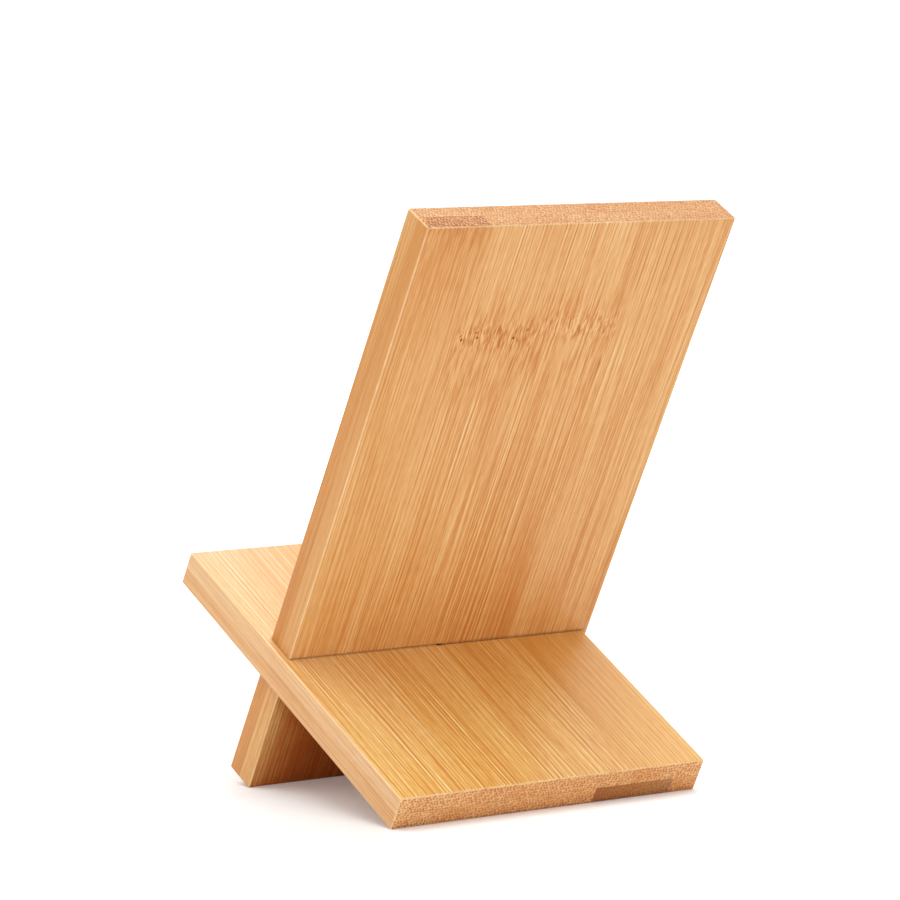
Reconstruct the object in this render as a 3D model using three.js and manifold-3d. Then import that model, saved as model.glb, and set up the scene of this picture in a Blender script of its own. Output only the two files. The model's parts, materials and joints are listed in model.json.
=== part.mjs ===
// A phone stand of two laminated bamboo boards that cross at a right angle in a half-lap joint.
// The upright leans back and carries the phone; the base props it up, and its raised front lip
// holds the phone's lower edge. Each board is glued up from strips in two plies, and every strip
// is its own mesh. Millimetres, +Z up, the phone side faces -Y. The origin is on the table,
// under the middle of the stand's bounding box.
import * as THREE from "three";
import { RoundedBoxGeometry } from "three/addons/geometries/RoundedBoxGeometry.js";
import { mergeVertices } from "three/addons/utils/BufferGeometryUtils.js";
import Module from "manifold-3d";

const wasm = await Module();
wasm.setup();

// Boards
const BOARD_WIDTH = 80;
const BOARD_THICKNESS = 8;
const EDGE_RADIUS = 0.5;

// Lengths along each board, on either side of the board that crosses it
const FOOT_LENGTH = 26;
const BACKREST_LENGTH = 106;
const REAR_LEG_LENGTH = 49;
const FRONT_LIP_LENGTH = 33;

// Half-lap joint
const SLOT_DEPTH = BOARD_WIDTH / 2;
const SLOT_WIDTH = 8.3;
const CONTACT_GAP = 0.05; // between the two faces that bear on each other
const SIDE_OFFSET = 1.6; // how far the upright still stands out sideways

// Lamination
const STRIP_WIDTH = 20.8;
const GLUE_LINE = 0.1;
const UPRIGHT_FIRST_STRIP = 16;
const BASE_TOP_FIRST_STRIP = 19.5;
const BASE_BOTTOM_FIRST_STRIP = 10.4;

// Making the shapes
const EDGE_SEGMENTS = 2;
const CUT_MARGIN = 5; // how far a cut reaches past the board
const MERGE_DISTANCE = 1e-4;

const BAMBOO_ROUGHNESS = 0.55;

const halfWidth = BOARD_WIDTH / 2;
const halfThickness = BOARD_THICKNESS / 2;
const halfGlue = GLUE_LINE / 2;

// Both lower edges stand on the table when the foot and the rear leg reach equally far down.
const uprightSlope = Math.atan2(REAR_LEG_LENGTH, FOOT_LENGTH);

// Each board lies in its own frame: X across, Y through its thickness, Z along its length, with the
// origin at the middle of the joint. `below` and `above` are its ends, measured from there.
const uprightBoard = {
  name: "upright",
  below: FOOT_LENGTH + halfThickness,
  above: BACKREST_LENGTH + halfThickness,
  belowWord: "foot",
  aboveWord: "upper",
  slotSide: 1,
  plies: [
    { name: "back", side: 1, firstStrip: UPRIGHT_FIRST_STRIP, color: 0xdfa66b },
    { name: "front", side: -1, firstStrip: UPRIGHT_FIRST_STRIP, color: 0xd69a60 },
  ],
};
const baseBoard = {
  name: "base",
  below: REAR_LEG_LENGTH + halfThickness,
  above: FRONT_LIP_LENGTH + halfThickness,
  belowWord: "rear",
  aboveWord: "lip",
  slotSide: -1,
  plies: [
    { name: "top", side: 1, firstStrip: BASE_TOP_FIRST_STRIP, color: 0xeabb80 },
    { name: "bottom", side: -1, firstStrip: BASE_BOTTOM_FIRST_STRIP, color: 0xcf935a },
  ],
};

// A closed geometry as a solid that can be cut.
function solidOf(geometry) {
  const bare = geometry.index ? geometry.toNonIndexed() : geometry.clone();
  bare.deleteAttribute("normal");
  bare.deleteAttribute("uv");
  const merged = mergeVertices(bare, MERGE_DISTANCE);
  const mesh = new wasm.Mesh({
    numProp: 3,
    vertProperties: merged.attributes.position.array,
    triVerts: new Uint32Array(merged.index.array),
  });
  return new wasm.Manifold(mesh);
}

// The surface of a solid as a geometry.
function geometryOf(solid) {
  const mesh = solid.getMesh();
  const geometry = new THREE.BufferGeometry();
  geometry.setAttribute("position", new THREE.BufferAttribute(mesh.vertProperties, 3));
  geometry.setIndex(new THREE.BufferAttribute(mesh.triVerts, 1));
  geometry.computeVertexNormals();
  return geometry;
}

function boxSolid(low, high) {
  const size = high.clone().sub(low);
  const middle = low.clone().add(high).multiplyScalar(0.5);
  const geometry = new THREE.BoxGeometry(size.x, size.y, size.z);
  return solidOf(geometry.translate(middle.x, middle.y, middle.z));
}

// The glued blank with its edges eased and the slot cut from one side to mid-width.
function machinedBoard(board) {
  const length = board.below + board.above;
  const blank = new RoundedBoxGeometry(BOARD_WIDTH, BOARD_THICKNESS, length, EDGE_SEGMENTS, EDGE_RADIUS);
  blank.translate(0, 0, (board.above - board.below) / 2);

  const inner = board.slotSide * (halfWidth - SLOT_DEPTH);
  const outer = board.slotSide * (halfWidth + CUT_MARGIN);
  const slotAbove = halfThickness + CONTACT_GAP;
  const slotBelow = SLOT_WIDTH - slotAbove;
  const slot = boxSolid(
    new THREE.Vector3(Math.min(inner, outer), -halfThickness - CUT_MARGIN, -slotBelow),
    new THREE.Vector3(Math.max(inner, outer), halfThickness + CUT_MARGIN, slotAbove),
  );
  return solidOf(blank).subtract(slot);
}

// The ply's strips from the +X edge on, a glue line apart.
function stripsAcross(firstStrip) {
  const joints = [];
  for (let x = halfWidth - firstStrip; x > -halfWidth; x -= STRIP_WIDTH) joints.push(x);
  const highs = [halfWidth, ...joints.map((x) => x - halfGlue)];
  const lows = [...joints.map((x) => x + halfGlue), -halfWidth];
  return highs.map((high, i) => ({ low: lows[i], high }));
}

// A strip that the slot crosses fully is two lengths of wood, and any other is one.
function lengthsOf(board, strip) {
  const reached = board.slotSide > 0 ? strip.low : -strip.high;
  const slotEnd = halfWidth - SLOT_DEPTH;
  if (reached < slotEnd) return [{ suffix: "", low: -board.below, high: board.above }];
  return [
    { suffix: "_" + board.belowWord, low: -board.below, high: 0 },
    { suffix: "_" + board.aboveWord, low: 0, high: board.above },
  ];
}

function stripMesh(name, machined, low, high, color) {
  const solid = machined.intersect(boxSolid(low, high));
  const material = new THREE.MeshStandardMaterial({ color, roughness: BAMBOO_ROUGHNESS, metalness: 0 });
  const mesh = new THREE.Mesh(geometryOf(solid), material);
  mesh.name = name;
  return mesh;
}

function boardGroup(board) {
  const group = new THREE.Group();
  const machined = machinedBoard(board);
  for (const ply of board.plies) {
    const inner = ply.side * halfGlue;
    const outer = ply.side * halfThickness;
    stripsAcross(ply.firstStrip).forEach((strip, i) => {
      for (const part of lengthsOf(board, strip)) {
        const name = `${board.name}_${ply.name}_strip_${i + 1}${part.suffix}`;
        const low = new THREE.Vector3(strip.low, Math.min(inner, outer), part.low);
        const high = new THREE.Vector3(strip.high, Math.max(inner, outer), part.high);
        group.add(stripMesh(name, machined, low, high, ply.color));
      }
    });
  }
  return group;
}

// How far a board's rounded end edge reaches from the joint in a direction, where `along` and
// `through` are that direction's shares of the board's length and thickness directions.
function reach(length, along, through) {
  const roundCentre = (length - EDGE_RADIUS) * along + (halfThickness - EDGE_RADIUS) * through;
  return roundCentre + EDGE_RADIUS;
}

const sine = Math.sin(uprightSlope);
const cosine = Math.cos(uprightSlope);
const jointHeight = reach(uprightBoard.below, sine, cosine);
const reachBack = reach(uprightBoard.above, cosine, sine);
const reachForward = reach(baseBoard.above, sine, cosine);
const jointY = (reachForward - reachBack) / 2;

const upright = boardGroup(uprightBoard);
upright.position.set(-SIDE_OFFSET / 2, jointY, jointHeight);
upright.rotation.x = uprightSlope - Math.PI / 2;

const base = boardGroup(baseBoard);
base.position.set(SIDE_OFFSET / 2, jointY, jointHeight);
base.rotation.x = uprightSlope;

const phoneStand = new THREE.Group();
phoneStand.add(base, upright);

export default phoneStand;
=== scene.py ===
"""A phone stand of laminated bamboo: two boards that cross in a half-lap joint, each glued up
from strips in two plies. Every strip of the CAD frame is replaced by a strip of the same size
with eased edges, cut out of one rounded and slotted board, and gets its own bamboo material."""

import json
import math
import random

import bmesh
import bpy
from mathutils import Matrix, Vector


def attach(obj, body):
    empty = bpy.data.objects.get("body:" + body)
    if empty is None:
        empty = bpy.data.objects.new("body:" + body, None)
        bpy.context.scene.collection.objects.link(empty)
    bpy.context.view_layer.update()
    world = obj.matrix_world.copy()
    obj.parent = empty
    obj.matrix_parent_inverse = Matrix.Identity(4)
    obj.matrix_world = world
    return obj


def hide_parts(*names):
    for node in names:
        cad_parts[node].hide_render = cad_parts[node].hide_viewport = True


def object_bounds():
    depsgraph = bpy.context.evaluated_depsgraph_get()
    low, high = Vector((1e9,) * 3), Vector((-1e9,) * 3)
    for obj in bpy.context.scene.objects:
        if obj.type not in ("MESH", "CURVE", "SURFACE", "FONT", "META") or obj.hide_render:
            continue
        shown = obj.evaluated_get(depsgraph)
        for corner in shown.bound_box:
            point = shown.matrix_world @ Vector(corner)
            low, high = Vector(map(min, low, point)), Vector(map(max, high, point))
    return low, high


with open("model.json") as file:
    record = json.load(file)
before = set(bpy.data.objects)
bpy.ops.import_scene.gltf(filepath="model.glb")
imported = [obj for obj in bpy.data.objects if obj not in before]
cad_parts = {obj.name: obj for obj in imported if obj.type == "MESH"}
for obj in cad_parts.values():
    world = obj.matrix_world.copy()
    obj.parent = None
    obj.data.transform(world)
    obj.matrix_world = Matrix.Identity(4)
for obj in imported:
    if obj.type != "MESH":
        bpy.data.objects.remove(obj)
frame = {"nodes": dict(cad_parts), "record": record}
cad_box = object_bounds()

MM = 0.001

# Shape of the eased edges, in metres
EDGE_RADIUS = 0.5 * MM
SLOT_EASING = 0.14 * MM
EDGE_SEGMENTS = 5
GLUE_LINE = 0.1 * MM
MATCH = 0.02 * MM  # positions closer than this are the same
CUT_SNAP = 1e-8  # a corner this close to a cutting plane lies on it
SHARP_ANGLE = math.radians(35)

# Camera: angles in degrees, azimuth 0 on the -Y side and 90 on the +X side; lens in millimetres
VIEW_AZIMUTH = 143.95
VIEW_ELEVATION = 5.99
VIEW_ROLL = 0.3
VIEW_DISTANCE = 0.909
VIEW_AIM = Vector((0.0008, -0.0002, 0.0727))
SENSOR_WIDTH = 36
LENS = 169.2

# Soft lamps: name, azimuth, elevation, size in metres, power in watts
SOFTBOXES = (
    ("key", -58, 46, 1.2, 6.1),
    ("top", 10, 78, 1.2, 6.2),
    ("side", 70, 50, 1.0, 3.4),
    ("camera side", 160, 20, 1.0, 2.5),
    ("behind", 165, 60, 1.0, 3.5),
)
SOFTBOX_DISTANCE = 1.2
WORLD_STRENGTH = 0.47
WORLD_LIFT = 0.7  # lifts are light added for the camera alone, so that a surface shows white

# Floor
FLOOR_HALF_SIZE = 12.0
FLOOR_COLOUR = (0.92, 0.92, 0.92, 1)
FLOOR_ROUGHNESS = 0.6
FLOOR_LIFT = (0.13, 0.8)  # near the stand and far from it
FLOOR_LIFT_REACH = (0.2, 0.6)
OPEN_SIDE = (0.037, 0.046)  # Y where the floor behind the stand comes out of its shadow
OPEN_SIDE_LIFT = 0.35
WHITE = (1, 1, 1, 1)

X_AXIS = Vector((1, 0, 0))


def family(node):
    """The names of a node's board, ply and strip, and its own."""
    words = node.split("_")
    return ["_".join(words[:count]) for count in (1, 2, 4, len(words))]


def mount_axis(name):
    """The outward normal of a flat mount in the record."""
    for mount in frame["record"]["mounts"]:
        if mount["name"] == name:
            return Vector(mount["axis"]).normalized()
    raise KeyError(name)


class Board:
    """A board's own frame: X across, Y through its thickness and Z along its length, with the
    origin at the middle of the half-lap joint, worked out from the CAD nodes on its body."""

    def __init__(self, body, through, slot_side):
        self.body = body
        self.slot_side = slot_side
        self.through = through
        self.along = X_AXIS.cross(through)
        self.nodes = frame["record"]["behaviour"]["bodies"][body]
        self.rotation = Matrix((X_AXIS, self.through, self.along)).transposed()

    def spans(self, names, origin):
        """Lowest and highest corner of some nodes in the board's frame."""
        inverse = self.rotation.inverted()
        points = [
            inverse @ (v.co - origin)
            for name in names
            for v in frame["nodes"][name].data.vertices
        ]
        low = Vector(min(p[i] for p in points) for i in range(3))
        high = Vector(max(p[i] for p in points) for i in range(3))
        return low, high

    def place(self, origin):
        """Sets the board's origin and measures the board and its slot from there."""
        self.origin = origin
        self.low, self.high = self.spans(self.nodes, origin)
        self.strips = {name: self.spans([name], origin) for name in self.nodes}
        self.slot_low = max(high.z for low, high in self.strips.values() if high.z < self.high.z - MATCH)
        self.slot_high = min(low.z for low, high in self.strips.values() if low.z > self.low.z + MATCH)
        self.slot_end = self.measure_slot_end()

    def measure_slot_end(self):
        """The X at which the slot stops, from the corners on the slot's lower wall."""
        inverse = self.rotation.inverted()
        wall = []
        for name in self.nodes:
            for v in frame["nodes"][name].data.vertices:
                p = inverse @ (v.co - self.origin)
                if abs(p.z - self.slot_low) < MATCH:
                    wall.append(p.x)
        return min(wall) if self.slot_side > 0 else max(wall)


def make_boards():
    upright = Board("upright", -mount_axis("phone_backrest"), slot_side=1)
    base = Board("base", mount_axis("phone_ledge"), slot_side=-1)
    zero = Vector()
    upright_low, upright_high = upright.spans(upright.nodes, zero)
    base_low, base_high = base.spans(base.nodes, zero)
    joint = (
        upright.through * (upright_low.y + upright_high.y) / 2
        + base.through * (base_low.y + base_high.y) / 2
    )
    for board, low, high in ((upright, upright_low, upright_high), (base, base_low, base_high)):
        board.place(joint + X_AXIS * (low.x + high.x) / 2)
    return upright, base


def slotted_blank(board):
    """The whole board in its own frame with sharp edges: an outline with the slot in it, given
    its thickness."""
    low, high = board.low, board.high
    mouth = high.x if board.slot_side > 0 else low.x
    closed = low.x if board.slot_side > 0 else high.x
    outline = [
        (closed, low.z),
        (mouth, low.z),
        (mouth, board.slot_low),
        (board.slot_end, board.slot_low),
        (board.slot_end, board.slot_high),
        (mouth, board.slot_high),
        (mouth, high.z),
        (closed, high.z),
    ]
    bm = bmesh.new()
    face = bm.faces.new([bm.verts.new((x, low.y, z)) for x, z in outline])
    made = bmesh.ops.extrude_face_region(bm, geom=[face])
    moved = [v for v in made["geom"] if isinstance(v, bmesh.types.BMVert)]
    bmesh.ops.translate(bm, vec=(0, high.y - low.y, 0), verts=moved)
    bmesh.ops.recalc_face_normals(bm, faces=bm.faces)
    return bm


def easing_share(board, edge):
    """How much an edge of the blank is eased: fully outside, lightly round the slot's rim, and
    not at all in the slot's inner corners."""

    def in_slot(vert):
        between = board.slot_low - MATCH < vert.co.z < board.slot_high + MATCH
        return between and (vert.co.x - board.slot_end) * board.slot_side > -MATCH

    first, second = edge.verts
    if not (in_slot(first) and in_slot(second)):
        return 1.0
    crosses_thickness = abs(first.co.y - second.co.y) > MATCH
    if crosses_thickness and abs(first.co.x - board.slot_end) < MATCH:
        return 0.0
    return SLOT_EASING / EDGE_RADIUS


def rounded_board(board):
    """The whole board in its own frame, slotted and with its edges eased."""
    bm = slotted_blank(board)
    weight = bm.edges.layers.float.new("bevel_weight_edge")
    for edge in bm.edges:
        edge[weight] = easing_share(board, edge)
    blank = bpy.data.meshes.new("blank")
    bm.to_mesh(blank)
    bm.free()
    holder = bpy.data.objects.new("blank", blank)
    bpy.context.scene.collection.objects.link(holder)
    bevel = holder.modifiers.new("eased edges", "BEVEL")
    bevel.limit_method = "WEIGHT"
    bevel.width = EDGE_RADIUS
    bevel.segments = EDGE_SEGMENTS
    eased = holder.evaluated_get(bpy.context.evaluated_depsgraph_get()).to_mesh()
    whole = bmesh.new()
    whole.from_mesh(eased)
    bpy.data.objects.remove(holder)
    bpy.data.meshes.remove(blank)
    return whole


def keep_side(bm, point, normal):
    """Cuts a closed mesh by a plane, drops the part that the normal points to, closes the cut."""
    everything = bm.verts[:] + bm.edges[:] + bm.faces[:]
    bmesh.ops.bisect_plane(
        bm, geom=everything, dist=CUT_SNAP, plane_co=point, plane_no=normal, clear_outer=True
    )
    rim = [e for e in bm.edges if e.is_boundary]
    if rim:
        bmesh.ops.holes_fill(bm, edges=rim)


def cut_strip(board, whole, low, high):
    """One strip of a rounded board: cut along its glue lines, which are closed up on the way."""
    bm = whole.copy()
    half_glue = GLUE_LINE / 2
    if low.x > board.low.x + MATCH:
        keep_side(bm, (low.x - half_glue, 0, 0), (-1, 0, 0))
    if high.x < board.high.x - MATCH:
        keep_side(bm, (high.x + half_glue, 0, 0), (1, 0, 0))
    middle = (board.low.y + board.high.y) / 2
    outwards = 1 if (low.y + high.y) / 2 > middle else -1
    keep_side(bm, (0, middle, 0), (0, -outwards, 0))
    in_slot = (0, 0, (board.slot_low + board.slot_high) / 2)
    if low.z > board.slot_low:
        keep_side(bm, in_slot, (0, 0, -1))
    if high.z < board.slot_high:
        keep_side(bm, in_slot, (0, 0, 1))
    return bm


def finish_mesh(bm, name):
    """Turns a bmesh into a mesh with smooth eased edges and flat faces."""
    bmesh.ops.recalc_face_normals(bm, faces=bm.faces)
    for face in bm.faces:
        face.smooth = True
    for edge in bm.edges:
        edge.smooth = edge.calc_face_angle(0) < SHARP_ANGLE
    mesh = bpy.data.meshes.new(name)
    bm.to_mesh(mesh)
    bm.free()
    return mesh


def make_strip(board, whole, node, material):
    low, high = board.strips[node]
    bm = cut_strip(board, whole, low, high)
    bm.transform(Matrix.Translation(board.origin) @ board.rotation.to_4x4())
    name = node + "_wood"
    piece = bpy.data.objects.new(name, finish_mesh(bm, name))
    bpy.context.scene.collection.objects.link(piece)
    weighted = piece.modifiers.new("even normals", "WEIGHTED_NORMAL")
    weighted.keep_sharp = True
    piece.data.materials.append(material)
    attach(piece, board.body)
    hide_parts(node)
    ply = family(node)[1]
    return piece


class Graph:
    """Short forms for the nodes that the materials use. A value is a number, a vector or a
    socket."""

    def __init__(self, tree):
        self.tree = tree

    def node(self, kind, values=None, **settings):
        made = self.tree.nodes.new("ShaderNode" + kind)
        for key, value in settings.items():
            setattr(made, key, value)
        for key, value in (values or {}).items():
            self.feed(made.inputs[key], value)
        return made

    def feed(self, socket, value):
        if isinstance(value, bpy.types.NodeSocket):
            self.tree.links.new(value, socket)
        else:
            socket.default_value = value

    def math(self, operation, a, b=0.0, clamp=False):
        return self.node("Math", {0: a, 1: b}, operation=operation, use_clamp=clamp).outputs[0]

    def add(self, first, *others):
        for other in others:
            first = self.math("ADD", first, other)
        return first

    def multiply(self, first, *others):
        for other in others:
            first = self.math("MULTIPLY", first, other)
        return first

    def subtract(self, a, b):
        return self.math("SUBTRACT", a, b)

    def size(self, value):
        """How large a number is, whatever its sign."""
        return self.math("ABSOLUTE", value)

    def rest(self, share):
        """What a share leaves of the whole."""
        return self.subtract(1.0, share)

    def less(self, share, loss):
        """A factor that falls from 1 as a share grows, by the loss when the share is full."""
        return self.rest(self.multiply(share, loss))

    def vector(self, operation, a, b=(0, 0, 0)):
        return self.node("VectorMath", {0: a, 1: b}, operation=operation).outputs[0]

    def dot(self, a, b):
        return self.node("VectorMath", {0: a, 1: b}, operation="DOT_PRODUCT").outputs["Value"]

    def split(self, vector):
        return self.node("SeparateXYZ", {0: vector}).outputs

    def join(self, x, y, z):
        return self.node("CombineXYZ", {0: x, 1: y, 2: z}).outputs[0]

    def ramp(self, value, start, end, low=0.0, high=1.0):
        """Goes smoothly from low at start to high at end."""
        values = {"Value": value, "From Min": start, "From Max": end, "To Min": low, "To Max": high}
        return self.node("MapRange", values, interpolation_type="SMOOTHSTEP").outputs[0]

    def noise(self, vector, stretch, detail, roughness=0.5):
        """Smooth noise from 0 to 1; stretch is its cycles per unit along each axis."""
        scaled = self.vector("MULTIPLY", vector, stretch)
        values = {"Vector": scaled, "Scale": 1.0, "Detail": detail, "Roughness": roughness}
        return self.node("TexNoise", values).outputs[0]

    def swing(self, vector, stretch, detail, roughness=0.5):
        """Smooth noise to both sides of 0."""
        return self.add(self.noise(vector, stretch, detail, roughness), -0.5)

    def cells(self, vector, stretch, randomness):
        """The way to the nearest cell centre, in cell sizes, and that cell's random number."""
        scaled = self.vector("MULTIPLY", vector, stretch)
        values = {"Vector": scaled, "Scale": 1.0, "Randomness": randomness}
        made = self.node("TexVoronoi", values)
        way = self.vector("SUBTRACT", made.outputs["Position"], scaled)
        return way, self.split(made.outputs["Color"])[0]

    def length(self, vector):
        return self.node("VectorMath", {0: vector}, operation="LENGTH").outputs["Value"]

    def mix(self, share, a, b):
        """A colour between two others."""
        return self.node("Mix", {0: share, 6: a, 7: b}, data_type="RGBA").outputs[2]


def linear(red, green, blue):
    """A colour given in ordinary 0 to 255 screen values."""

    def channel(value):
        value /= 255
        return value / 12.92 if value <= 0.04045 else ((value + 0.055) / 1.055) ** 2.4

    return (channel(red), channel(green), channel(blue), 1.0)


# Bamboo colours, darkest grain to palest
GRAIN_COLOURS = (
    (0.00, linear(179, 89, 25)),
    (0.25, linear(197, 116, 46)),
    (0.50, linear(216, 149, 79)),
    (0.75, linear(238, 191, 130)),
    (1.00, linear(249, 237, 206)),
)
BUNDLE_COLOUR = linear(180, 88, 46)
PIT_COLOUR = linear(120, 54, 16)
GLUE_COLOUR = linear(112, 64, 30)
# Pale edges: partly worn by sanding, partly a painted highlight
WORN_EDGE_AND_HIGHLIGHT_COLOUR = linear(255, 226, 178)
END_TINT = (1.06, 1.12, 1.16)

# The texture's lengths are in millimetres, in the frame of a board that measures twice these
HALF_WIDTH = 40.0
HALF_THICKNESS = 4.0
SEED_SHIFT = (37.7, 11.3, 91.1)
ELSEWHERE = (71.0, 33.0, 17.0)  # from one noise to another that should not match it
BESIDE = (0.45, 0.0, 0.0)  # a thin streak is the change of a noise over this way

# Noise, in cycles per millimetre across, through and along the fibres
KNUCKLE_WANDER = (0.16, 0.05, 0.0)
FIBRE_DRIFT = (0.08, 0.08, 0.012)
FIBRE_KINK = (0.5, 0.5, 0.16)
THIN_STREAKS = (4.0, 4.0, 0.04)
STREAKS = (1.3, 1.3, 0.03)
BROAD_STREAKS = (0.17, 0.17, 0.006)
SPECKS = (2.6, 2.6, 0.4)
STROKES = (2.2, 2.2, 0.14)
FLECKS = (2.5, 2.5, 0.42)
GLUE_PATCHES = (0.12, 0.12, 0.03)
WORN_AND_HIGHLIGHT_PATCHES = (0.3, 0.3, 0.3)
BROKEN_ROUGHNESS = 0.6  # of the noise in broken fibres

# Knuckles: how far the line wanders, and where its zones fade in by the height from it
WANDER = 4.0
LINE_ZONE = (1.6, 0.6)
BAND_ZONE = (5.0, 1.0)
HALO_BELOW = (-26.0, -3.0)
HALO_ABOVE = (14.0, 2.0)
PITTED_STRENGTH = (0.92, 0.98)  # only the strongest knuckles have open pits
PITS_PER_MM = Vector((0.45, 0.0, 0.3))
PIT_RADII = (0.45, 0.2)
PIT_LOTS = (0.2, 0.3)  # the cells with a random number below these have no pit
PIT_DARKNESS = 0.9

# Fibres' wandering
DRIFT = 1.4
KINK = 0.9
BEND_THROUGH = 0.4  # the share of it that goes through the thickness

# Fibre bundles
BUNDLES_PER_MM = 1.3
BUNDLE_ROWS_PER_MM = 1.5
BUNDLE_SCATTER = 0.6
BUNDLE_FLATTENING = 0.3
BUNDLE_RADIUS = 0.28
SKIN_BUNDLE_EXTRA = 0.08
BAND_BUNDLE_EXTRA = 0.1
BUNDLE_RIM = 1.1  # in radii, like the next two
END_BUNDLE_EXTRA = 0.3
BUNDLE_CORE = 0.45
WEAKEST_BUNDLE = 0.6
BUNDLE_FADE = (0.35, 0.65)

# What each pattern adds to the grain value, which runs from 0, dark, to 1, pale
USUAL_VALUE = 0.6
STREAK_VALUE = 0.22
THIN_STREAK_VALUE = 0.33
SPECK_VALUE = 0.14
BUNDLE_VALUE = -0.12
BROAD_STREAK_VALUE = 0.16
STROKE_VALUE = 1.2
FLECK_VALUE = 1.7
MOST_STROKE = 0.06
MOST_FLECK = 0.09
HALO_VALUE = -0.04
# Painted shade near the other board, where the joint shades the wood
NEAR_JOINT_PAINTED_SHADE = -0.06
NEAR_JOINT = (38.0, 4.0)  # distances along the board, from none of the painted shade to all of it
AHEAD_OF_JOINT = (2.0, -2.0)  # heights between which the painted shade ahead of the joint meets the one behind

# How much of a pattern other parts of the surface lose
END_CALM = 0.8
SIDE_CALM = 0.4
HALO_CALM = 0.5
SIDE_BROKEN_LOSS = 0.8
SIDE_PAINTED_SHADE_LOSS = 0.6
# Sides keep less of the painted shade near the joint
SIDE_GLUE_LOSS = 0.6

# Cut ends
SKIN_SHADE = (0.6, 1.05, 1.0, 0.72)  # two depths and the light at each
BAND_LIGHT = 0.15
DOT_STRENGTH = 0.66
SKIN_DOT_EXTRA = 0.4
BAND_DOT_EXTRA = 0.3

# Glue lines, a darker line in the corner at the other board, and edges rubbed pale with a painted
# highlight
PLY_GLUE = (0.14, 0.03)
STRIP_GLUE = (0.12, 0.03)
STRIP_GLUE_STRENGTH = 0.4
GLUE_PATCHINESS = (0.4, 0.65, 0.1, 0.75)  # two noise levels and the strength at each
GLUE_STRENGTH = 0.6
# A darker line in the corner at the other board
CORNER_LINE_OFFSET = 0.1
CORNER_LINE_FADE = (0.45, 0.1)
CORNER_LINE_STRENGTH = 0.3
WORN_AND_HIGHLIGHT_FADE = (0.42, 0.16)
WORN_AND_HIGHLIGHT_PATCHINESS = (0.3, 0.7, 0.35, 0.6)  # likewise

# Surface
ROUGHNESS = 0.46
END_ROUGHNESS = 0.12
STREAK_ROUGHNESS = 0.2
PIT_ROUGHNESS = 0.2
THIN_STREAK_HEIGHT = 0.6
BUNDLE_HEIGHT = -0.35
PIT_HEIGHT = -0.6
BROKEN_HEIGHT = 0.6
BUMP_STRENGTH = 0.4
BUMP_DISTANCE = 0.06 * MM
SPECULAR_LEVEL = 0.5
COAT_IOR = 1.45
FACING = (0.55, 0.9)  # how squarely a face has to look along an axis to be an end or a side

STRIP_INPUTS = (
    "Seed",
    "Tone",
    "Tone per length",
    "Tone per width",
    "Middle",
    "Paleness",
    "Paleness per length",
    "Side paleness",
    "Side tone",
    "End light",
    "Other board",
    "Painted shade ahead",
    "Grain",
    "Grain per length",
    "Skin side",
    "Node height",
    "Node strength",
    "Left joint",
    "Right joint",
)


def grain_colour(g, value):
    made = g.node("ValToRGB", {0: value})
    elements = made.color_ramp.elements
    while len(elements) < len(GRAIN_COLOURS):
        elements.new(0.5)
    for element, (position, colour) in zip(elements, GRAIN_COLOURS):
        element.position = position
        element.color = colour
    return made.outputs[0]


def middle_of(g, a, b, c):
    """The middle one of three values."""
    low = g.math("MINIMUM", a, b)
    high = g.math("MAXIMUM", a, b)
    return g.math("MAXIMUM", low, g.math("MINIMUM", high, c))


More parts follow.
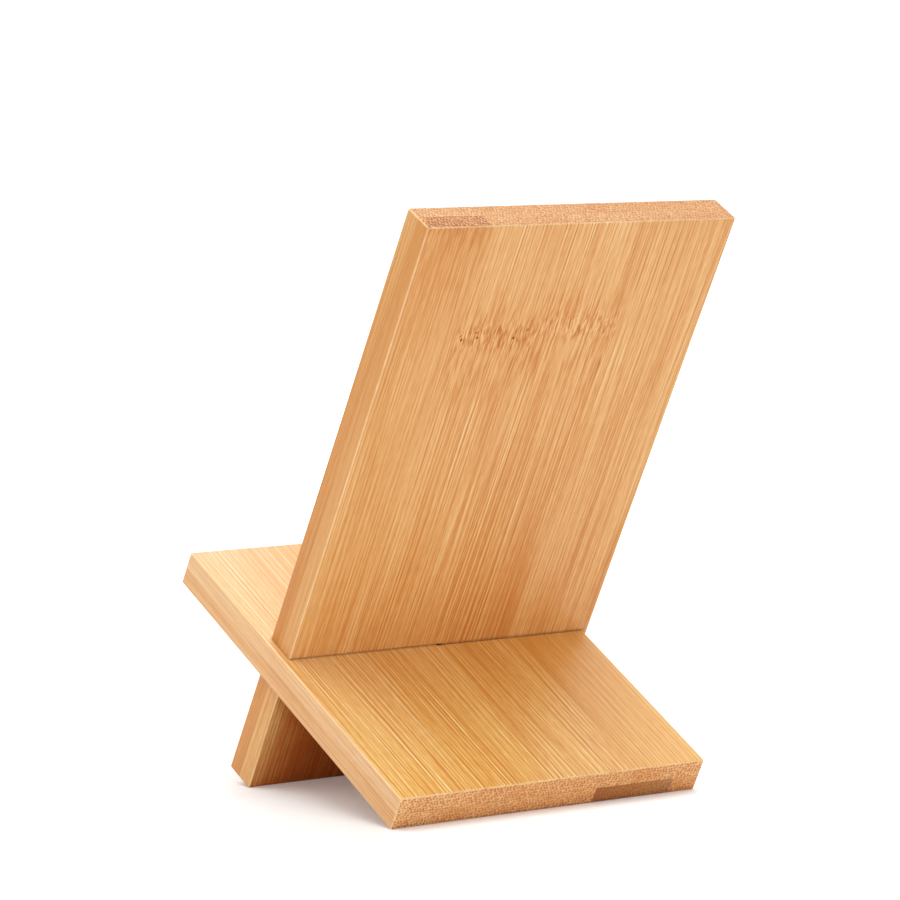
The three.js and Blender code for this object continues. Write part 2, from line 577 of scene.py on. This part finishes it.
class Bamboo:
    """The solid texture of one bamboo strip, so that faces, sides and ends all cut the same
    fibres. Each method adds the nodes of one feature."""

    def __init__(self, tree):
        self.g = g = Graph(tree)
        self.given = given = tree.nodes.new("NodeGroupInput").outputs
        self.x, self.y, self.z = g.split(given["Vector"])
        self.end = given["End share"]
        self.side = given["Side share"]
        self.open_face = g.rest(g.add(self.end, self.side))
        self.make_knuckle()
        self.make_fibres()
        self.make_bundles()
        self.make_streaks()
        self.make_pits()

    def make_knuckle(self):
        """Where a bamboo stem has its cross wall: a crooked line across the strip, a band of
        broken fibres close to it, and a halo of short ones that reaches further down than up."""
        g, given = self.g, self.given
        seed = given["Seed"]
        shift = g.vector("MULTIPLY", g.join(seed, seed, seed), SEED_SHIFT)
        self.straight = g.vector("ADD", given["Vector"], shift)
        wander = g.multiply(g.swing(self.straight, KNUCKLE_WANDER, 2.0), WANDER)
        self.from_line = g.add(g.subtract(self.z, given["Node height"]), wander)
        near = g.size(self.from_line)
        strength = given["Node strength"]
        self.line = g.multiply(g.ramp(near, *LINE_ZONE), g.ramp(strength, *PITTED_STRENGTH))
        self.band = g.multiply(g.ramp(near, *BAND_ZONE), strength)
        below = g.ramp(self.from_line, *HALO_BELOW)
        above = g.ramp(self.from_line, *HALO_ABOVE)
        self.halo = g.multiply(below, above, strength)

    def make_fibres(self):
        """The place along the fibres, which wander a little, and more at a knuckle."""
        g = self.g
        drift = g.multiply(g.swing(self.straight, FIBRE_DRIFT, 1.0), DRIFT)
        kink = g.multiply(g.swing(self.straight, FIBRE_KINK, 1.0), KINK, self.halo)
        bend = g.add(drift, kink)
        bends = g.join(bend, g.multiply(bend, BEND_THROUGH), 0.0)
        self.place = g.vector("ADD", self.straight, bends)

    def make_bundles(self):
        """Fibre bundles that run the strip's whole length in staggered rows, larger near the
        stem's skin, which is at a depth of 1, and in a knuckle's band."""
        g = self.g
        from_glue = g.multiply(g.size(self.y), 1 / HALF_THICKNESS)
        self.skin = g.add(0.5, g.multiply(g.add(from_glue, -0.5), self.given["Skin side"]))

        across, through, _ = g.split(self.place)
        stagger = 0.5 / BUNDLES_PER_MM
        slanted = g.add(across, g.multiply(through, -stagger * BUNDLE_ROWS_PER_MM))
        rows = g.join(slanted, through, 0.0)
        way, lot = g.cells(rows, (BUNDLES_PER_MM, BUNDLE_ROWS_PER_MM, 1.0), BUNDLE_SCATTER)
        way_x, way_y, way_z = g.split(way)
        way_x = g.add(g.multiply(way_x, 1 / BUNDLES_PER_MM), g.multiply(way_y, stagger))
        way_y = g.multiply(way_y, 1 / BUNDLE_ROWS_PER_MM)
        distance = g.length(g.join(way_x, way_y, g.multiply(way_z, BUNDLE_FLATTENING)))

        skin_extra = g.multiply(self.skin, SKIN_BUNDLE_EXTRA)
        radius = g.add(BUNDLE_RADIUS, skin_extra, g.multiply(self.band, BAND_BUNDLE_EXTRA))
        rim = g.add(BUNDLE_RIM, g.multiply(self.end, END_BUNDLE_EXTRA))
        core = g.ramp(g.math("DIVIDE", distance, radius), rim, BUNDLE_CORE)
        self.bundle = g.multiply(core, g.add(WEAKEST_BUNDLE, g.multiply(lot, 1 - WEAKEST_BUNDLE)))

    def make_streaks(self):
        """Streaks of several widths along the fibres, and the short ones of broken fibres."""
        g = self.g
        elsewhere = g.vector("ADD", self.place, ELSEWHERE)
        beside = g.vector("ADD", self.place, BESIDE)
        here = g.noise(self.place, THIN_STREAKS, 0.0)
        self.thin = g.subtract(here, g.noise(beside, THIN_STREAKS, 0.0))
        self.streak = g.swing(elsewhere, STREAKS, 0.0)
        self.broad = g.swing(self.place, BROAD_STREAKS, 1.0)
        self.specks = g.swing(elsewhere, SPECKS, 0.0)

        strokes = g.multiply(g.swing(self.place, STROKES, 1.0, BROKEN_ROUGHNESS), STROKE_VALUE)
        flecks = g.multiply(g.swing(elsewhere, FLECKS, 1.0, BROKEN_ROUGHNESS), FLECK_VALUE)
        strokes = g.multiply(g.math("MINIMUM", strokes, MOST_STROKE), self.halo)
        flecks = g.multiply(g.math("MINIMUM", flecks, MOST_FLECK), self.band)
        self.broken = g.multiply(g.add(strokes, flecks), g.less(self.side, SIDE_BROKEN_LOSS))

    def make_pits(self):
        """Open pits along a strong knuckle's line."""
        g = self.g
        across = g.split(self.place)[0]
        way, lot = g.cells(g.join(across, 0.0, self.from_line), PITS_PER_MM, 1.0)
        way_x, _, way_z = g.split(way)
        way_x = g.multiply(way_x, 1 / PITS_PER_MM.x)
        way_z = g.multiply(way_z, 1 / PITS_PER_MM.z)
        distance = g.length(g.join(way_x, 0.0, way_z))
        self.pit = g.multiply(g.ramp(distance, *PIT_RADII), g.ramp(lot, *PIT_LOTS), self.line)

    def fibre_lines(self):
        """The streaks' share of the grain value, fainter on cut ends, on sides and in a halo."""
        g, given = self.g, self.given
        fade = g.ramp(g.noise(self.place, STREAKS, 1.0), *BUNDLE_FADE)
        lines = g.add(
            g.multiply(self.streak, STREAK_VALUE),
            g.multiply(self.thin, THIN_STREAK_VALUE),
            g.multiply(self.specks, SPECK_VALUE),
            g.multiply(self.bundle, fade, BUNDLE_VALUE),
        )
        ends_and_sides = g.add(g.multiply(self.end, END_CALM), g.multiply(self.side, SIDE_CALM))
        calm = g.multiply(g.rest(ends_and_sides), g.less(self.halo, HALO_CALM))
        grain = g.add(given["Grain"], g.multiply(self.z, given["Grain per length"]))
        return g.multiply(lines, g.multiply(grain, calm))

    def painted_joint_shade(self):
        """Painted shade: the wood is darkened near the other board, where the joint shades it."""
        g = self.g
        shade = g.ramp(g.size(self.z), *NEAR_JOINT, 0.0, NEAR_JOINT_PAINTED_SHADE)
        ahead = g.ramp(self.z, *AHEAD_OF_JOINT, self.given["Painted shade ahead"], 1.0)
        return g.multiply(shade, ahead, g.less(self.side, SIDE_PAINTED_SHADE_LOSS))

    def face_colour(self):
        g, given = self.g, self.given
        from_middle = g.subtract(self.x, given["Middle"])
        value = g.add(
            g.add(USUAL_VALUE, given["Tone"]),
            self.fibre_lines(),
            g.multiply(self.z, given["Tone per length"]),
            g.multiply(from_middle, given["Tone per width"]),
            g.multiply(self.broad, BROAD_STREAK_VALUE),
            self.painted_joint_shade(),
            g.multiply(given["Side tone"], self.side),
            self.broken,
            g.multiply(self.halo, HALO_VALUE, self.open_face),
        )
        pale = g.add(given["Paleness"], g.multiply(self.z, given["Paleness per length"]))
        pale = g.add(1.0, g.multiply(g.add(pale, -1.0), self.open_face))
        pale = g.add(pale, g.multiply(g.add(given["Side paleness"], -1.0), self.side))
        return g.vector("MULTIPLY", grain_colour(g, value), g.join(1.0, 1.0, pale))

    def with_cut_ends(self, colour):
        """Cut ends are greyer and darker towards the skin. They show the bundles as dots, coarse
        where the cut runs through a knuckle."""
        g = self.g
        light = g.multiply(self.given["End light"], g.ramp(self.skin, *SKIN_SHADE))
        light = g.multiply(light, g.add(1.0, g.multiply(self.band, BAND_LIGHT)))
        lights = g.join(light, light, light)
        cut = g.vector("MULTIPLY", g.vector("MULTIPLY", colour, END_TINT), lights)
        colour = g.mix(self.end, colour, cut)
        strength = g.add(DOT_STRENGTH, g.multiply(self.skin, SKIN_DOT_EXTRA))
        strength = g.add(strength, g.multiply(self.band, BAND_DOT_EXTRA))
        dot = g.math("MULTIPLY", g.multiply(self.bundle, strength), self.end, clamp=True)
        dot_colour = g.vector("MULTIPLY", BUNDLE_COLOUR[:3], lights)
        return g.mix(dot, colour, g.mix(self.band, dot_colour, PIT_COLOUR))

    def with_glue_lines(self, colour):
        """Glue lines between the plies and, fainter, between neighbouring strips."""
        g, given = self.g, self.given
        ply_line = g.multiply(g.ramp(g.size(self.y), *PLY_GLUE), g.less(self.side, SIDE_GLUE_LOSS))
        left_line = g.ramp(g.size(g.subtract(self.x, given["Left joint"])), *STRIP_GLUE)
        right_line = g.ramp(g.size(g.subtract(self.x, given["Right joint"])), *STRIP_GLUE)
        strip_line = g.multiply(g.math("MAXIMUM", left_line, right_line), STRIP_GLUE_STRENGTH)
        patches = g.ramp(g.noise(given["Vector"], GLUE_PATCHES, 2.0), *GLUE_PATCHINESS)
        glue = g.multiply(g.math("MAXIMUM", ply_line, strip_line), patches)
        return g.mix(g.multiply(glue, GLUE_STRENGTH), colour, GLUE_COLOUR)

    def with_corner_line(self, colour):
        """A darker line in the corner round the other board."""
        g = self.g
        beyond_face = g.add(g.size(self.z), -HALF_THICKNESS)
        beyond_side = g.add(g.size(g.subtract(self.x, self.given["Other board"])), -HALF_WIDTH)
        from_corner = g.add(g.math("MAXIMUM", beyond_face, beyond_side), -CORNER_LINE_OFFSET)
        dark_line = g.multiply(g.ramp(g.size(from_corner), *CORNER_LINE_FADE), self.open_face)
        return g.mix(g.multiply(dark_line, CORNER_LINE_STRENGTH), colour, GLUE_COLOUR)

    def with_worn_and_highlit_edges(self, colour):
        """Edges rubbed pale by sanding, with a painted highlight along them where the eased edges catch
        the light.
        """
        g, given = self.g, self.given
        rubbed_and_highlit = g.ramp(given["Edge distance"], *WORN_AND_HIGHLIGHT_FADE)
        patches = g.ramp(g.noise(given["Vector"], WORN_AND_HIGHLIGHT_PATCHES, 3.0), *WORN_AND_HIGHLIGHT_PATCHINESS)
        return g.mix(g.multiply(rubbed_and_highlit, patches), colour, WORN_EDGE_AND_HIGHLIGHT_COLOUR)

    def colour(self):
        colour = self.with_cut_ends(self.face_colour())
        colour = self.g.mix(self.g.multiply(self.pit, PIT_DARKNESS), colour, PIT_COLOUR)
        colour = self.with_glue_lines(colour)
        colour = self.with_corner_line(colour)
        return self.with_worn_and_highlit_edges(colour)

    def roughness(self):
        g = self.g
        return g.add(
            g.add(ROUGHNESS, g.multiply(self.end, END_ROUGHNESS)),
            g.multiply(self.streak, STREAK_ROUGHNESS),
            g.multiply(self.pit, PIT_ROUGHNESS),
        )

    def height(self):
        g = self.g
        return g.add(
            g.multiply(self.thin, THIN_STREAK_HEIGHT),
            g.multiply(self.bundle, BUNDLE_HEIGHT),
            g.multiply(self.pit, PIT_HEIGHT),
            g.multiply(self.broken, BROKEN_HEIGHT),
        )

    def specular(self):
        """Pits don't shine."""
        return self.g.ramp(self.pit, 0.0, 1.0, SPECULAR_LEVEL, 0.0)


def bamboo_group():
    """The bamboo texture as a node group. Its vector is in millimetres in the board's frame."""
    tree = bpy.data.node_groups.new("bamboo strip", "ShaderNodeTree")
    face = tree.interface
    face.new_socket("Vector", in_out="INPUT", socket_type="NodeSocketVector")
    for name in ("End share", "Side share", "Edge distance") + STRIP_INPUTS:
        face.new_socket(name, in_out="INPUT", socket_type="NodeSocketFloat")
    face.new_socket("Color", in_out="OUTPUT", socket_type="NodeSocketColor")
    for name in ("Roughness", "Specular", "Height"):
        face.new_socket(name, in_out="OUTPUT", socket_type="NodeSocketFloat")
    bamboo = Bamboo(tree)
    result = tree.nodes.new("NodeGroupOutput").inputs
    bamboo.g.feed(result["Color"], bamboo.colour())
    bamboo.g.feed(result["Roughness"], bamboo.roughness())
    bamboo.g.feed(result["Specular"], bamboo.specular())
    bamboo.g.feed(result["Height"], bamboo.height())
    return tree


# Painted shade: wood that the base shuts in under the joint is painted darker and redder, as long as it
# is there
SHUT_IN_PAINTED_SHADES = {"upright_back_strip_1_foot": -0.62, "upright_back_strip_2_foot": -0.43}
SHUT_IN_REACH = 50 * MM
SHUT_IN_OPENNESS = (0.215, 0.12)  # from no shade to the full one
OPENNESS_SAMPLES = 64


def painted_shut_in_shade(g, tone):
    """Painted shade: a tone shift, as far as other wood shuts a point in."""
    values = {"Distance": SHUT_IN_REACH}
    openness = g.node("AmbientOcclusion", values, samples=OPENNESS_SAMPLES).outputs["AO"]
    return g.ramp(openness, *SHUT_IN_OPENNESS, 0.0, tone)


def bamboo_material(node, board, group, look):
    """A strip's material: where it lies in the board, and the bamboo texture there."""
    material = bpy.data.materials.new(node + "_bamboo")
    material.use_nodes = True
    tree = material.node_tree
    tree.nodes.clear()
    g = Graph(tree)
    coordinates = g.node("TexCoord").outputs
    values = {
        "Vector": coordinates["Object"],
        "Location": board.origin,
        "Rotation": board.rotation.to_euler(),
        "Scale": (MM, MM, MM),
    }
    place = g.node("Mapping", values, vector_type="TEXTURE").outputs[0]

    middle = (board.low + board.high) / 2 / MM
    half = (board.high - board.low) / 2 / MM
    from_middle = g.vector("ABSOLUTE", g.vector("SUBTRACT", place, middle))
    insets = g.split(g.vector("SUBTRACT", half, from_middle))

    strip = tree.nodes.new("ShaderNodeGroup")
    strip.node_tree = group
    inputs = {
        "Vector": place,
        "End share": g.ramp(g.size(g.dot(coordinates["Normal"], board.along)), *FACING),
        "Side share": g.ramp(g.size(g.dot(coordinates["Normal"], X_AXIS)), *FACING),
        "Edge distance": middle_of(g, insets[0], insets[1], insets[2]),
        **look,
    }
    # Painted shade on the strips that the base shuts in
    if node in SHUT_IN_PAINTED_SHADES:
        inputs["Tone"] = g.add(look["Tone"], painted_shut_in_shade(g, SHUT_IN_PAINTED_SHADES[node]))
    for key, value in inputs.items():
        g.feed(strip.inputs[key], value)

    bump_values = {
        "Height": strip.outputs["Height"],
        "Strength": BUMP_STRENGTH,
        "Distance": BUMP_DISTANCE,
    }
    shader_values = {
        "Base Color": strip.outputs["Color"],
        "Roughness": strip.outputs["Roughness"],
        "Specular IOR Level": strip.outputs["Specular"],
        "Normal": g.node("Bump", bump_values).outputs[0],
        "IOR": COAT_IOR,
    }
    shader = g.node("BsdfPrincipled", shader_values)
    g.node("OutputMaterial", {"Surface": shader.outputs[0]})
    return material


NO_JOINT = 1000.0  # a joint position far outside the board
TONE_SPREAD = 0.05

# - painted shade ahead is the share of the painted joint shade that falls ahead of the joint.
# How the strips look, as inputs of the texture:
# - a tone shifts the grain value, and changes per millimetre along or across the board;
# - a paleness scales the colour's blue, so it is whiter above 1 and yellower below;
# - an end light scales the brightness of a cut end, and grain the contrast of the streaks;
# - skin side is how strongly the bundles crowd towards the board's face;
# - node height is where the strip has its knuckle, in millimetres from the half-lap joint.
# A key is a board, a ply, a strip or a single node. The more particular one overrules the others.
PLAIN_LOOK = {
    "Tone per length": 0.0,
    "Tone per width": 0.0,
    "Paleness": 1.0,
    "Paleness per length": 0.0,
    "Grain": 1.0,
    "Grain per length": 0.0,
    "Node height": 0.0,
    "Node strength": 0.0,
}
LOOKS = {
    "upright": {"Side paleness": 1.0, "Side tone": -0.05, "End light": 0.86, "Painted shade ahead": 1.0},
    "upright_back": {"Skin side": 0.3, "Paleness": 0.95, "Paleness per length": 0.0006},
    "upright_back_strip_1": {
        "Tone": 0.06,
        "Tone per length": -0.0012,
        "Grain": 0.85,
        "Node height": 111.0,
        "Node strength": 0.6,
    },
    "upright_back_strip_1_foot": {"Grain": 1.5},
    "upright_back_strip_2": {
        "Tone": 0.01,
        "Tone per length": 0.0001,
        "Grain": 1.1,
        "Node height": 83.0,
        "Node strength": 1.0,
    },
    "upright_back_strip_2_foot": {"Grain": 1.5},
    "upright_back_strip_3": {
        "Tone": -0.05,
        "Tone per length": 0.0008,
        "Grain": 1.2,
        "Node height": 85.0,
        "Node strength": 0.9,
    },
    "upright_back_strip_4": {"Tone": 0.03, "Tone per length": -0.0003, "Grain": 1.1},
    "upright_front": {"Skin side": 0.3},
    "upright_front_strip_1": {"Tone": -0.14, "Tone per length": 0.0019},
    "upright_front_strip_1_foot": {"Tone": -0.04},
    "upright_front_strip_4": {"Node height": 38.0, "Node strength": 1.0},
    "upright_front_strip_5": {"Node height": 41.0, "Node strength": 0.9},
    "base": {"Side paleness": 1.13, "Side tone": 0.0, "End light": 1.07, "Painted shade ahead": 0.1},
    "base_top": {
        "Skin side": 0.0,
        "Paleness": 0.79,
        "Paleness per length": 0.0015,
        "Grain per length": -0.009,
    },
    "base_top_strip_1": {
        "Tone": 0.125,
        "Tone per length": 0.0008,
        "Paleness": 0.96,
        "Paleness per length": 0.0052,
    },
    "base_top_strip_2": {
        "Tone": 0.075,
        "Tone per length": 0.0008,
        "Paleness": 0.88,
        "Paleness per length": 0.0048,
    },
    "base_top_strip_3": {"Tone": 0.0, "Tone per length": -0.001},
    "base_top_strip_3_lip": {"Tone": 0.08},
    "base_top_strip_4": {"Tone": -0.01, "Tone per length": -0.0012, "Grain": 0.5},
    "base_top_strip_4_rear": {"Tone per width": -0.005},
    "base_bottom": {"Skin side": 1.0},
    "base_bottom_strip_1": {"Tone": 0.06},
    "base_bottom_strip_2": {"Node height": -22.0, "Node strength": 1.0},
    "base_bottom_strip_4": {"Tone": -0.16, "Tone per width": -0.013, "End light": 0.74},
    "base_bottom_strip_5": {"Tone": -0.05},
}


def strip_look(board, other, node):
    """The texture's inputs for one strip. Lengths cut from one strip share its tone and seed."""
    low, high = board.strips[node]
    half_glue = GLUE_LINE / 2
    body, ply, strip, own = family(node)
    dice = random.Random(strip)
    look = {
        **PLAIN_LOOK,
        "Tone": dice.uniform(-TONE_SPREAD, TONE_SPREAD),
        "Seed": dice.uniform(0, 10),
        "Middle": (low.x + high.x) / 2 / MM,
        "Other board": (other.origin.x - board.origin.x) / MM,
        "Left joint": (low.x - half_glue) / MM if low.x > board.low.x + MATCH else NO_JOINT,
        "Right joint": (high.x + half_glue) / MM if high.x < board.high.x - MATCH else NO_JOINT,
    }
    for key in (body, ply, strip, own):
        look.update(LOOKS.get(key, {}))
    return look


def build_board(board, other, group):
    whole = rounded_board(board)
    for node in board.nodes:
        look = strip_look(board, other, node)
        make_strip(board, whole, node, bamboo_material(node, board, group, look))
    whole.free()


def for_camera(g, lift):
    """A lift that only the camera's own rays see."""
    return g.multiply(g.node("LightPath").outputs["Is Camera Ray"], lift)


def floor_material():
    material = bpy.data.materials.new("white floor")
    material.use_nodes = True
    shader = material.node_tree.nodes["Principled BSDF"]
    g = Graph(material.node_tree)
    place = g.node("TexCoord").outputs["Object"]
    lift = g.ramp(g.length(place), *FLOOR_LIFT_REACH, *FLOOR_LIFT)
    lift = g.add(lift, g.ramp(g.split(place)[1], *OPEN_SIDE, 0.0, OPEN_SIDE_LIFT))
    g.feed(shader.inputs["Base Color"], FLOOR_COLOUR)
    g.feed(shader.inputs["Roughness"], FLOOR_ROUGHNESS)
    g.feed(shader.inputs["Emission Color"], WHITE)
    g.feed(shader.inputs["Emission Strength"], for_camera(g, lift))
    return material


def make_floor():
    size = FLOOR_HALF_SIZE
    mesh = bpy.data.meshes.new("floor")
    corners = [(-size, -size, 0), (size, -size, 0), (size, size, 0), (-size, size, 0)]
    mesh.from_pydata(corners, [], [(0, 1, 2, 3)])
    floor = bpy.data.objects.new("floor", mesh)
    bpy.context.scene.collection.objects.link(floor)
    mesh.materials.append(floor_material())


def direction(azimuth, elevation):
    """The way from the stand towards a viewer or a lamp."""
    a = math.radians(azimuth)
    e = math.radians(elevation)
    return Vector((math.sin(a) * math.cos(e), -math.cos(a) * math.cos(e), math.sin(e)))


def add_softbox(name, azimuth, elevation, size, power, target):
    """A square lamp facing the stand."""
    away = direction(azimuth, elevation)
    lamp = bpy.data.lights.new(name, "AREA")
    lamp.shape = "SQUARE"
    lamp.size = size
    lamp.energy = power
    holder = bpy.data.objects.new(name, lamp)
    holder.location = target + away * SOFTBOX_DISTANCE
    holder.rotation_mode = "QUATERNION"
    holder.rotation_quaternion = (-away).to_track_quat("-Z", "Y")
    bpy.context.scene.collection.objects.link(holder)


def make_light():
    world = bpy.data.worlds.new("studio")
    world.use_nodes = True
    background = world.node_tree.nodes["Background"]
    g = Graph(world.node_tree)
    g.feed(background.inputs["Color"], WHITE)
    g.feed(background.inputs["Strength"], g.add(for_camera(g, WORLD_LIFT), WORLD_STRENGTH))
    bpy.context.scene.world = world
    low, high = cad_box
    for name, azimuth, elevation, size, power in SOFTBOXES:
        add_softbox(name, azimuth, elevation, size, power, (low + high) / 2)
    bpy.context.scene.view_settings.view_transform = "Standard"


def make_camera():
    back = direction(VIEW_AZIMUTH, VIEW_ELEVATION)
    camera = bpy.data.cameras.new("camera")
    camera.sensor_width = SENSOR_WIDTH
    camera.lens = LENS
    holder = bpy.data.objects.new("camera", camera)
    holder.location = VIEW_AIM + back * VIEW_DISTANCE
    look = (-back).to_track_quat("-Z", "Y").to_matrix().to_4x4()
    roll = Matrix.Rotation(math.radians(VIEW_ROLL), 4, "Z")
    holder.rotation_euler = (look @ roll).to_euler()
    bpy.context.scene.collection.objects.link(holder)
    bpy.context.scene.camera = holder


upright_board, base_board = make_boards()
bamboo = bamboo_group()
build_board(upright_board, base_board, bamboo)
build_board(base_board, upright_board, bamboo)
make_floor()
make_light()
make_camera()
